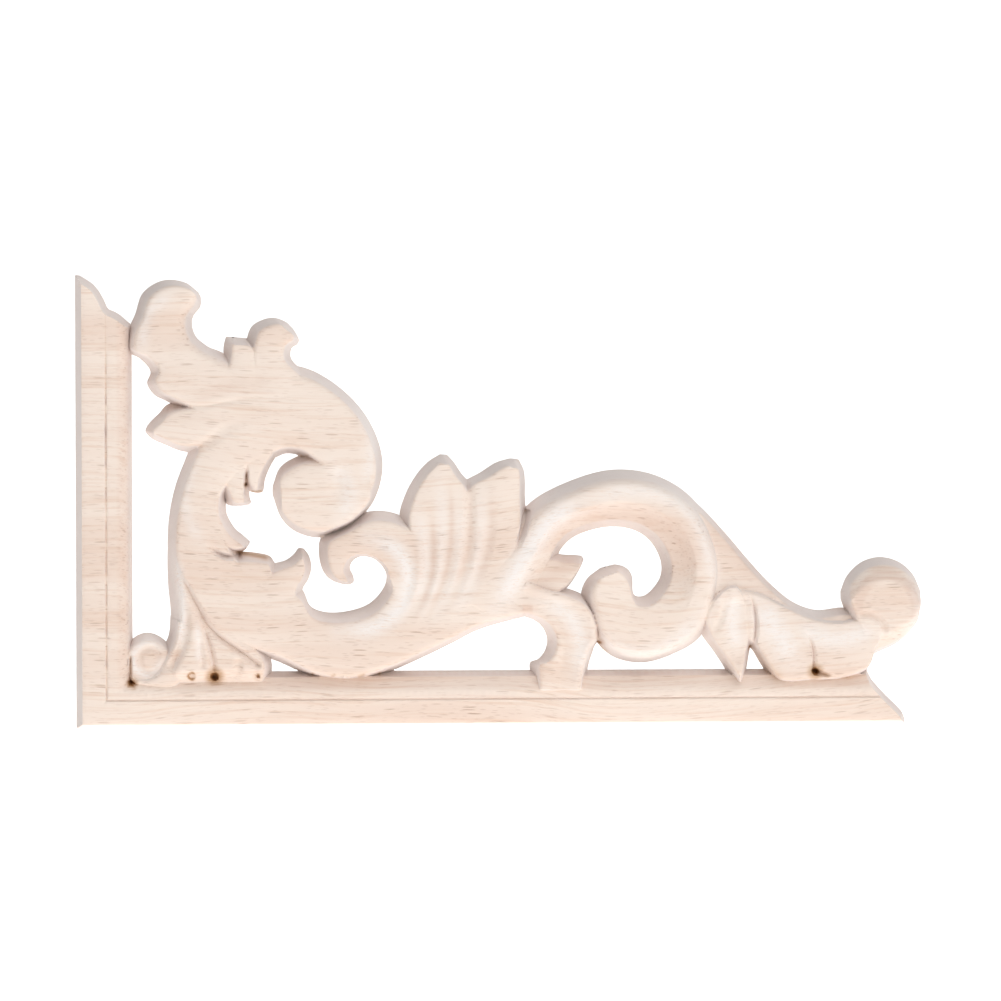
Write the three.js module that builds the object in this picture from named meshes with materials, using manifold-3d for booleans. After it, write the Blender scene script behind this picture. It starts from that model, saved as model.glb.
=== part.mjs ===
import * as THREE from "three";
import { mergeVertices } from "three/addons/utils/BufferGeometryUtils.js";
import Module from "manifold-3d";

const wasm = await Module();
wasm.setup();

// Wooden corner onlay, carved from one board: two straight mouldings that meet at a right angle,
// and a field of acanthus scrolls between them. Millimetres, back on the plane y = 0, face to -y.

// Overall sizes
const long_arm = 150; // outer corner to the end of the tail scroll
const short_arm = 80; // outer corner to the tip of the upright moulding
const bar_width = 10; // back width of both mouldings
const bar_setback = 3; // the lying moulding ends this far short of the tail scroll

// Section of the mouldings
const bar_height = 5.6;
const groove_centre = 5.2; // from the outer edge
const groove_width = 1.2;
const groove_depth = 0.8;
const bevel_width = 2.5; // sloping strip along the inner edge
const bevel_drop = 1.9;

// Cut walls lean outwards towards the back, as a tapered cutter leaves them
const wall_lean = 14; // degrees
const tip_land = 0.5; // wood left at the point of a leaf

// Heights above the back: rim where a cut wall ends, crown along the middle
const scroll_rim = 5.3;
const scroll_crown = 7.8;
const band_crown = 7.2;
const cove_depth = 2.3; // hollow along the inside of the open scroll
const leaf_rim = 4.9;
const leaf_crown = 6.6;
const low_rim = 4.2;
const low_crown = 5.4;
const eye_crown = 7.4;

// The carving is drawn on a squared board, 1 mm squares at this size, counted from the outer corner
const GRID_LONG = 150;
const GRID_SHORT = 80;
const GRID_BAR = 10;
const square_x = (long_arm - bar_width) / (GRID_LONG - GRID_BAR);
const square_z = (short_arm - bar_width) / (GRID_SHORT - GRID_BAR);
const corner = -bar_width / 2; // outer edges, from the crossing of the mouldings' centre lines
const inner = bar_width / 2;

const wall_run = (height) => height * Math.tan(THREE.MathUtils.degToRad(wall_lean));
const on_board = (gx, gz) =>
  new THREE.Vector3(inner + (gx - GRID_BAR) * square_x, 0, inner + (gz - GRID_BAR) * square_z);

// Solids

function to_manifold(points, triangles) {
  const geometry = new THREE.BufferGeometry();
  const flat = points.flatMap((p) => [p.x, p.y, p.z]);
  geometry.setAttribute("position", new THREE.Float32BufferAttribute(flat, 3));
  geometry.setIndex(triangles.flat());
  const merged = mergeVertices(geometry, 1e-5);
  const position = merged.getAttribute("position");
  const index = Array.from(merged.index.array);
  const volume = signed_volume(position, index);
  if (volume < 0) {
    index.reverse();
  }
  return new wasm.Manifold(
    new wasm.Mesh({
      numProp: 3,
      vertProperties: Float32Array.from(position.array),
      triVerts: Uint32Array.from(index),
    }),
  );
}

function signed_volume(position, index) {
  const a = new THREE.Vector3();
  const b = new THREE.Vector3();
  const c = new THREE.Vector3();
  let sum = 0;
  for (let i = 0; i < index.length; i += 3) {
    a.fromBufferAttribute(position, index[i]);
    b.fromBufferAttribute(position, index[i + 1]);
    c.fromBufferAttribute(position, index[i + 2]);
    sum += a.dot(b.cross(c)) / 6;
  }
  return sum;
}

// Closed solid through a row of sections with equal numbers of points, capped at both ends
function loft(sections, cap_outline) {
  const count = sections[0].length;
  const triangles = [];
  for (let s = 0; s + 1 < sections.length; s += 1) {
    for (let k = 0; k < count; k += 1) {
      const a = s * count + k;
      const b = s * count + ((k + 1) % count);
      triangles.push([a, b, a + count], [b, b + count, a + count]);
    }
  }
  const last = (sections.length - 1) * count;
  for (const [i, j, k] of THREE.ShapeUtils.triangulateShape(cap_outline, [])) {
    const turn = THREE.ShapeUtils.isClockWise(cap_outline) ? 1 : -1;
    triangles.push(turn > 0 ? [i, j, k] : [k, j, i]);
    triangles.push(turn > 0 ? [last + k, last + j, last + i] : [last + i, last + j, last + k]);
  }
  return to_manifold(sections.flat(), triangles);
}

// Carved form between a left and a right edge. Each rib gives one pair of edge points on the board,
// from the root, which lies inside a neighbour, to the tip.
function carved_form({ ribs, rim, crown, steps = 2, free_root = false, cove = null }) {
  const left = new THREE.CatmullRomCurve3(ribs.map((r) => on_board(r[0], r[1])));
  const right = new THREE.CatmullRomCurve3(ribs.map((r) => on_board(r[2], r[3])));
  const station_count = (ribs.length - 1) * steps + 1;
  const stations = [];
  for (let s = 0; s < station_count; s += 1) {
    const u = s / (station_count - 1);
    stations.push({ rib: u * (ribs.length - 1), a: left.getPoint(u), b: right.getPoint(u) });
  }
  let travelled = 0;
  stations.forEach((station, s) => {
    station.middle = station.a.clone().lerp(station.b, 0.5);
    travelled += s > 0 ? station.middle.distanceTo(stations[s - 1].middle) : 0;
    station.from_root = travelled;
  });
  const run = wall_run(rim);
  const across = cove ? [0, 0.3, 0.52, 0.62, 0.82, 1] : [0, 0.22, 0.5, 0.78, 1];
  const sections = stations.map(({ rib, a, b, from_root }) => {
    const width = a.distanceTo(b);
    const side = Math.min(1, (0.42 * width) / run);
    const to_tip = (travelled - from_root) / run;
    const to_root = free_root ? from_root / run : 1;
    const full = Math.max(tip_land / rim, Math.min(side, to_tip, to_root));
    const inset = Math.min(run * side, 0.42 * width) / width;
    const hollow = cove ? cove_depth * blend_in_out(rib, cove) : 0;
    const section = [a.clone()];
    for (const t of across) {
      const point = a.clone().lerp(b, inset + t * (1 - 2 * inset));
      point.y = -full * (rim + (crown - rim) * bulge(t) - hollow * cove_share(t));
      section.push(point);
    }
    section.push(b.clone());
    return section;
  });
  const outline = [new THREE.Vector2(-0.1, 0)];
  across.forEach((t) => outline.push(new THREE.Vector2(t, 1 + 0.4 * bulge(t) - 0.2 * (cove ? cove_share(t) : 0))));
  outline.push(new THREE.Vector2(1.1, 0));
  return loft(sections, outline);
}

const bulge = (t) => 1 - (2 * t - 1) ** 2;
const cove_share = (t) => THREE.MathUtils.smoothstep(t, 0.5, 0.85) * (1 - 0.35 * t);
const blend_in_out = (rib, [start, full, fade, end]) =>
  THREE.MathUtils.smoothstep(rib, start, full) * (1 - THREE.MathUtils.smoothstep(rib, fade, end));

// Mouldings: one section swept up the short arm and along the long arm, mitred on the diagonal
function mouldings() {
  const run = wall_run(bar_height);
  const low_run = wall_run(bar_height - bevel_drop);
  const profile = [
    [0, 0],
    [run, bar_height],
    [groove_centre - groove_width / 2, bar_height],
    [groove_centre, bar_height - groove_depth],
    [groove_centre + groove_width / 2, bar_height],
    [bar_width - bevel_width, bar_height],
    [bar_width - low_run, bar_height - bevel_drop],
    [bar_width, 0],
  ];
  const top = corner + short_arm;
  const end = corner + long_arm - bar_setback;
  const sections = [
    profile.map(([u, h]) => new THREE.Vector3(corner + u, -h, top + 1)),
    profile.map(([u, h]) => new THREE.Vector3(corner + u, -h, corner + u)),
    profile.map(([u, h]) => new THREE.Vector3(end + 1, -h, corner + u)),
  ];
  const outline = profile.map(([u, h]) => new THREE.Vector2(u, h));
  return loft(sections, outline)
    .subtract(end_cutter(upright_ogee, (u, back) => [corner + u, top - back], [0, 1]))
    .subtract(end_cutter(lying_ogee, (u, back) => [end - back, corner + u], [1, 0]));
}

// Ogee ends, as shares of the moulding's width: across from the outer edge, back from the tip
const upright_ogee = [
  [-0.3, -0.12], [0.2, 0.08], [0.34, 0.18], [0.47, 0.36], [0.57, 0.59], [0.63, 0.65],
  [0.78, 0.7], [1, 0.88], [1.3, 1.12],
];
const lying_ogee = [
  [-0.3, 0.02], [0.08, 0], [0.23, 0.06], [0.35, 0.18], [0.5, 0.34], [0.65, 0.48], [0.8, 0.61],
  [0.95, 0.68], [1.3, 0.72],
];

function end_cutter(ogee, place, away) {
  const line = ogee.map(([u, back]) => place(u * bar_width, back * bar_width));
  const beyond = bar_width;
  const deep = bar_height + 2;
  const lean = wall_run(deep);
  const inwards = line.map((p, i) => {
    const before = line[Math.max(0, i - 1)];
    const after = line[Math.min(line.length - 1, i + 1)];
    const along = new THREE.Vector2(after[0] - before[0], after[1] - before[1]).normalize();
    const normal = new THREE.Vector2(-along.y, along.x);
    return normal.dot(new THREE.Vector2(...away)) > 0 ? normal.negate() : normal;
  });
  const ring = (y, shift) => {
    const near = line.map(([x, z], i) =>
      new THREE.Vector3(x + inwards[i].x * shift, y, z + inwards[i].y * shift));
    const far = [line[line.length - 1], line[0]].map(([x, z]) =>
      new THREE.Vector3(x + away[0] * 2 * beyond, y, z + away[1] * 2 * beyond));
    return [...near, ...far];
  };
  const behind = -wall_run(1);
  const outline = ring(0, 0).map((p) => new THREE.Vector2(p.x, p.z));
  return loft([ring(1, behind), ring(-deep, lean)], outline);
}

// The carving, largest stroke first
const scroll = { rim: scroll_rim, crown: scroll_crown };
const leaf = { rim: leaf_rim, crown: leaf_crown };
const low_leaf = { rim: low_rim, crown: low_crown };

const forms = {
  main_scroll: {
    ...scroll,
    ribs: [
      [77, 19.3, 64, 30], [70, 17.2, 53, 28.5], [63, 13.8, 51.9, 24.9], [56.5, 10.9, 48, 21.8],
      [49, 8.4, 43.5, 21], [41, 8.4, 40.6, 21.7], [34.5, 11.5, 39.9, 24.4], [26.5, 15, 36.5, 26.8],
      [20.3, 21.5, 31, 29], [16.6, 28.5, 27.8, 33], [16.2, 35, 26.6, 37.6], [17.3, 42, 26.8, 41.5],
      [19.8, 48.8, 31, 46], [22.5, 56, 34.6, 47.4], [29.5, 63, 37, 48.4], [39.5, 63.8, 39.2, 48.1],
      [47, 59.7, 40.3, 47.3], [52, 53.7, 41.2, 46.4], [54.1, 46.5, 42.2, 45.2],
      [52.3, 39.6, 43, 43.6], [47.5, 35, 43.2, 42.6],
    ],
  },
  scroll_eye: {
    rim: scroll_rim, crown: eye_crown, free_root: true,
    ribs: [
      [34.65, 42.7, 34.65, 41.1], [36, 46, 36.2, 37], [38.9, 47.9, 38.6, 34.7], [42.5, 49, 42.7, 33.55],
      [47, 49, 47, 34.7], [50.5, 48, 50.5, 37.5], [53, 46, 53, 41],
    ],
  },
  crest_leaf: {
    ...leaf,
    ribs: [
      [18, 55.5, 31, 57], [13.3, 58.8, 28, 64.5], [11.6, 61.6, 24.6, 66.2], [11.2, 64.3, 22.2, 67.4],
      [9.2, 67.5, 20.5, 69.6], [9.7, 72.2, 20.3, 72], [11.7, 77, 21.1, 73], [15.5, 79.1, 21.9, 74.1],
      [19.4, 78.6, 22.1, 75.2], [21.7, 76.7, 22, 76],
    ],
  },
  crest_step: {
    ...low_leaf,
    ribs: [[24.5, 62.5, 31.5, 62.5], [25.9, 66.5, 31, 66], [26.1, 69.1, 29.7, 68.7]],
  },
  crest_lobe: {
    ...leaf,
    ribs: [
      [29.5, 62.5, 41, 62.5], [29.8, 66.8, 38, 65.2], [30.9, 70.7, 38.1, 67], [32.6, 71.9, 39.1, 67.7],
      [34.8, 72.4, 39.4, 68.4], [37, 71.7, 39, 69.4], [38.1, 70.7, 38.6, 70.1],
    ],
  },
  left_leaf: {
    ...leaf,
    ribs: [
      [30, 60, 30, 49], [20.5, 58.2, 24, 48.6], [16.1, 57.1, 18.8, 48.85], [14.8, 55.7, 15.8, 50],
      [12.9, 53.8, 13.3, 51.2], [12.25, 52.7, 12.35, 52.2],
    ],
  },
  slit_leaf: {
    ...low_leaf,
    ribs: [
      [29.8, 49, 36, 49.5], [30, 46.2, 34.3, 46.2], [30.1, 43.6, 33.3, 43.6], [30.6, 42.3, 33.15, 42.3],
      [32, 41.6, 32.9, 41.6],
    ],
  },
  spur_leaf: {
    ...low_leaf,
    ribs: [
      [24, 46, 30.5, 47], [25.5, 42, 30.2, 44], [26.8, 39.6, 30.1, 42.1], [28.8, 39.35, 30.4, 41],
      [30.5, 39.4, 30.95, 39.8],
    ],
  },
  sickle_leaf: {
    ...leaf,
    ribs: [
      [20.5, 38, 26.3, 40], [22.2, 34.2, 26.6, 37.8], [24.6, 31.8, 28, 35.3], [27.2, 30.9, 29.4, 34.1],
      [29.6, 31.3, 30.4, 33.2], [30.5, 32.4, 30.7, 32.9],
    ],
  },
  blunt_leaf: {
    ...low_leaf,
    ribs: [
      [26, 25, 24, 31], [29, 26.5, 28.5, 31], [31.5, 27.2, 31.8, 30.7], [33.6, 27.6, 33.8, 30.1],
      [34.5, 28.2, 34.5, 29.1],
    ],
  },
  horn_leaf: {
    ...leaf,
    ribs: [
      [31, 22, 40.3, 20.5], [32.5, 26.5, 39.8, 24.2], [34.8, 28.4, 41, 26.3], [36.8, 29.2, 41.5, 28.4],
      [38.2, 30.4, 41, 30.5], [39.2, 31.7, 40.1, 31.6],
    ],
  },
  hook_leaf: {
    ...leaf,
    ribs: [
      [57.3, 36.5, 60, 26], [51.4, 38.2, 53.2, 27], [46.5, 35.4, 52, 29.3], [43.2, 33.6, 50.3, 29.95],
      [42.8, 30.8, 49.1, 29.5], [43.5, 27.6, 48.75, 28.6], [46, 25.8, 48.85, 27.6],
      [48.3, 26.3, 48.9, 26.9],
    ],
  },
  fan_leaf_near: {
    ...leaf,
    ribs: [
      [52.8, 25.5, 70, 20], [55.5, 32, 70.5, 30], [57, 37.2, 69.5, 38], [58.1, 41.2, 68.5, 43.3],
      [60, 44.6, 67.5, 45], [62.2, 47, 66.7, 46.8], [64.2, 48.25, 65.5, 48.15],
    ],
  },
  fan_leaf_far: {
    ...leaf,
    ribs: [
      [62, 20, 78, 22], [66, 30, 77.5, 31], [68, 38, 79, 37], [68.6, 43.3, 79.3, 41],
      [71.3, 45, 79.3, 43.2], [74.2, 46.8, 79.1, 45.3], [76.6, 47.5, 78.2, 47.3],
    ],
  },
  open_scroll: {
    rim: scroll_rim, crown: band_crown, cove: [1, 3, 8, 10],
    ribs: [
      [66, 26, 74, 18.8], [72, 29, 79, 20.5], [77, 33, 83.5, 27], [79.5, 38.8, 86, 31.8],
      [83.5, 41.8, 88.5, 33.8], [94, 45.35, 94.3, 35.3], [102.5, 44.4, 98.8, 34.6],
      [109.5, 39.8, 101.6, 32.6], [113.6, 32, 103.4, 29], [114, 25, 103.2, 26.2],
      [110.6, 15.9, 101, 23.4], [105.5, 12.6, 99.7, 22.9], [100, 11.15, 98.7, 23.2],
      [95, 12.2, 98.4, 24.2], [91.9, 15, 98.4, 25.3], [90.1, 19.5, 98.3, 26.5],
      [89.2, 23.3, 97.7, 27.6], [90.2, 26, 96.7, 28.3], [92.6, 28, 95.2, 28.65],
    ],
  },
  thorn_leaf: {
    ...low_leaf,
    ribs: [
      [80, 29, 80, 21], [83, 30.9, 84.5, 22.8], [86, 30.4, 86.7, 24.4], [88.4, 30.3, 88.8, 27.4],
      [89.4, 30.15, 89.75, 29.5],
    ],
  },
  small_curl: {
    ...leaf,
    ribs: [
      [80, 7, 90, 7], [79.6, 10.7, 90.5, 10.9], [81.9, 12.9, 91.5, 13.6], [83.05, 15.3, 92.4, 16],
      [82.3, 17.6, 91.4, 19.6], [80.6, 18.9, 88.9, 22.7], [77, 19.4, 85, 24.5], [75, 19, 79, 24],
    ],
  },
  tail: {
    ...leaf,
    ribs: [
      [106, 42.5, 104, 38], [110.5, 38.8, 110, 30], [115, 34, 113, 24], [119, 29.3, 115, 18],
      [123, 25, 119.5, 14], [127, 21.8, 124, 11], [131, 20.4, 130, 9], [135.5, 20.8, 137, 9],
      [139, 20.5, 140.2, 11.5], [141.7, 19.4, 141.5, 14.5], [142.4, 18.2, 142.3, 16.8],
    ],
  },
  tail_ball: {
    rim: scroll_rim, crown: eye_crown, free_root: true,
    ribs: [
      [135.4, 23.7, 135.45, 22.2], [136.6, 26.5, 137, 18], [139.2, 28.9, 139.9, 12.2],
      [142.4, 29.75, 142.5, 13], [145.8, 28.9, 145.5, 14.4], [148.4, 26.6, 147.7, 16.4],
      [149.6, 23.6, 149.3, 19.2], [149.9, 21.9, 149.85, 21],
    ],
  },
  hanging_leaflet: {
    ...leaf,
    ribs: [
      [113, 27, 118, 26], [111.2, 22, 119.3, 20.5], [110.4, 16, 119.6, 15.5], [112.5, 12.7, 118.9, 12.8],
      [114.8, 9.9, 118.1, 10], [116, 7, 118, 7.5],
    ],
  },
  broad_leaflet: {
    ...leaf,
    ribs: [
      [119.5, 22, 126, 20], [118.8, 16, 129, 16.3], [119, 13.2, 129.7, 13.2], [121.4, 10.3, 129.3, 10.6],
      [123, 8, 128.5, 8],
    ],
  },
  corner_leaf: {
    ...low_leaf,
    ribs: [
      [12, 8, 32.6, 7.5], [15.2, 13, 33.5, 12], [16.4, 16.8, 26.5, 16.5], [16.65, 20.5, 22.7, 20.3],
      [16.2, 25.5, 20.2, 25], [16.1, 30, 18, 29.5], [16.3, 32.6, 16.9, 32.4],
    ],
  },
  small_volute: {
    ...low_leaf,
    ribs: [
      [20, 14, 20, 8], [16.3, 14.6, 17, 8], [14.2, 15.8, 14, 8], [12, 16.85, 12, 8], [10, 16.4, 10, 8.3],
      [8.3, 14.5, 8.3, 9.5],
    ],
  },
};

const carving = Object.values(forms).map(carved_form);
const solid = [mouldings(), ...carving].reduce((whole, piece) => whole.add(piece));

// Part

const raw_wood = new THREE.MeshStandardMaterial({ color: 0xe6d0bc, roughness: 0.75, metalness: 0 });

function to_mesh(name, manifold, material) {
  const { vertProperties, triVerts, numProp } = manifold.getMesh();
  const positions = [];
  for (let i = 0; i < vertProperties.length; i += numProp) {
    positions.push(vertProperties[i], vertProperties[i + 1], vertProperties[i + 2]);
  }
  const geometry = new THREE.BufferGeometry();
  geometry.setAttribute("position", new THREE.Float32BufferAttribute(positions, 3));
  geometry.setIndex(Array.from(triVerts));
  geometry.computeVertexNormals();
  const mesh = new THREE.Mesh(geometry, material);
  mesh.name = name;
  return mesh;
}

const part = new THREE.Group();
part.add(to_mesh("corner_onlay", solid, raw_wood));

export default part;
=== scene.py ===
import math

import bpy
import numpy as np
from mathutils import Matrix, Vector
from mathutils.bvhtree import BVHTree
from mathutils.geometry import delaunay_2d_cdt


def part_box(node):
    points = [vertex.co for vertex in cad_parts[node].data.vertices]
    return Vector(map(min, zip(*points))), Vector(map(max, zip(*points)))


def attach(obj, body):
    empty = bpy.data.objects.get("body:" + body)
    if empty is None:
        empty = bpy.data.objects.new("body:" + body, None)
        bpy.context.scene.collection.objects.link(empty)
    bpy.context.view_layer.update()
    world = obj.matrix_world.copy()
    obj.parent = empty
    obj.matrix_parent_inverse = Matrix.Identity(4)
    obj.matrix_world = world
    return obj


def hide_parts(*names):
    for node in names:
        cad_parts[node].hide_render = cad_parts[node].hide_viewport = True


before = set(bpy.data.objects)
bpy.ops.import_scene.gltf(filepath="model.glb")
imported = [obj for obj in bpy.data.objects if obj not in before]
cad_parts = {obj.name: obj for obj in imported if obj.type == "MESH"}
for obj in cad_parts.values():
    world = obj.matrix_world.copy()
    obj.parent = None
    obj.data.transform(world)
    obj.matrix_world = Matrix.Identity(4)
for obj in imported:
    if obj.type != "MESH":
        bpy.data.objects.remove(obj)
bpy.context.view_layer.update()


# The corner onlay: one board of raw rubberwood, 8 mm thick, sawn out and carved by a machine.
# Its tapered cutter leaves walls that lean outwards, round-edged scrolls and V cuts between them.
# It has a flat back and is glued to a door or a panel.

MM = 0.001
board_low, board_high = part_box("corner_onlay")  # board x and z are counted from here, in mm
LEAN = math.tan(math.radians(11))  # slope of every sawn wall
ARRIS = 0.35  # mm of the edge that the brush rounded, and how much lower it left the edge
ARRIS_DROP = 0.25
DOME = 0.35  # mm that a form is lower at its sides than in its middle, if it is as wide as this
DOME_WIDTH = 12
BORDER = 0.47  # share of a form's width that each wall takes at most, where the form is narrow
BURIED = 2.2  # mm that a root starts lower than the form it belongs to

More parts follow.
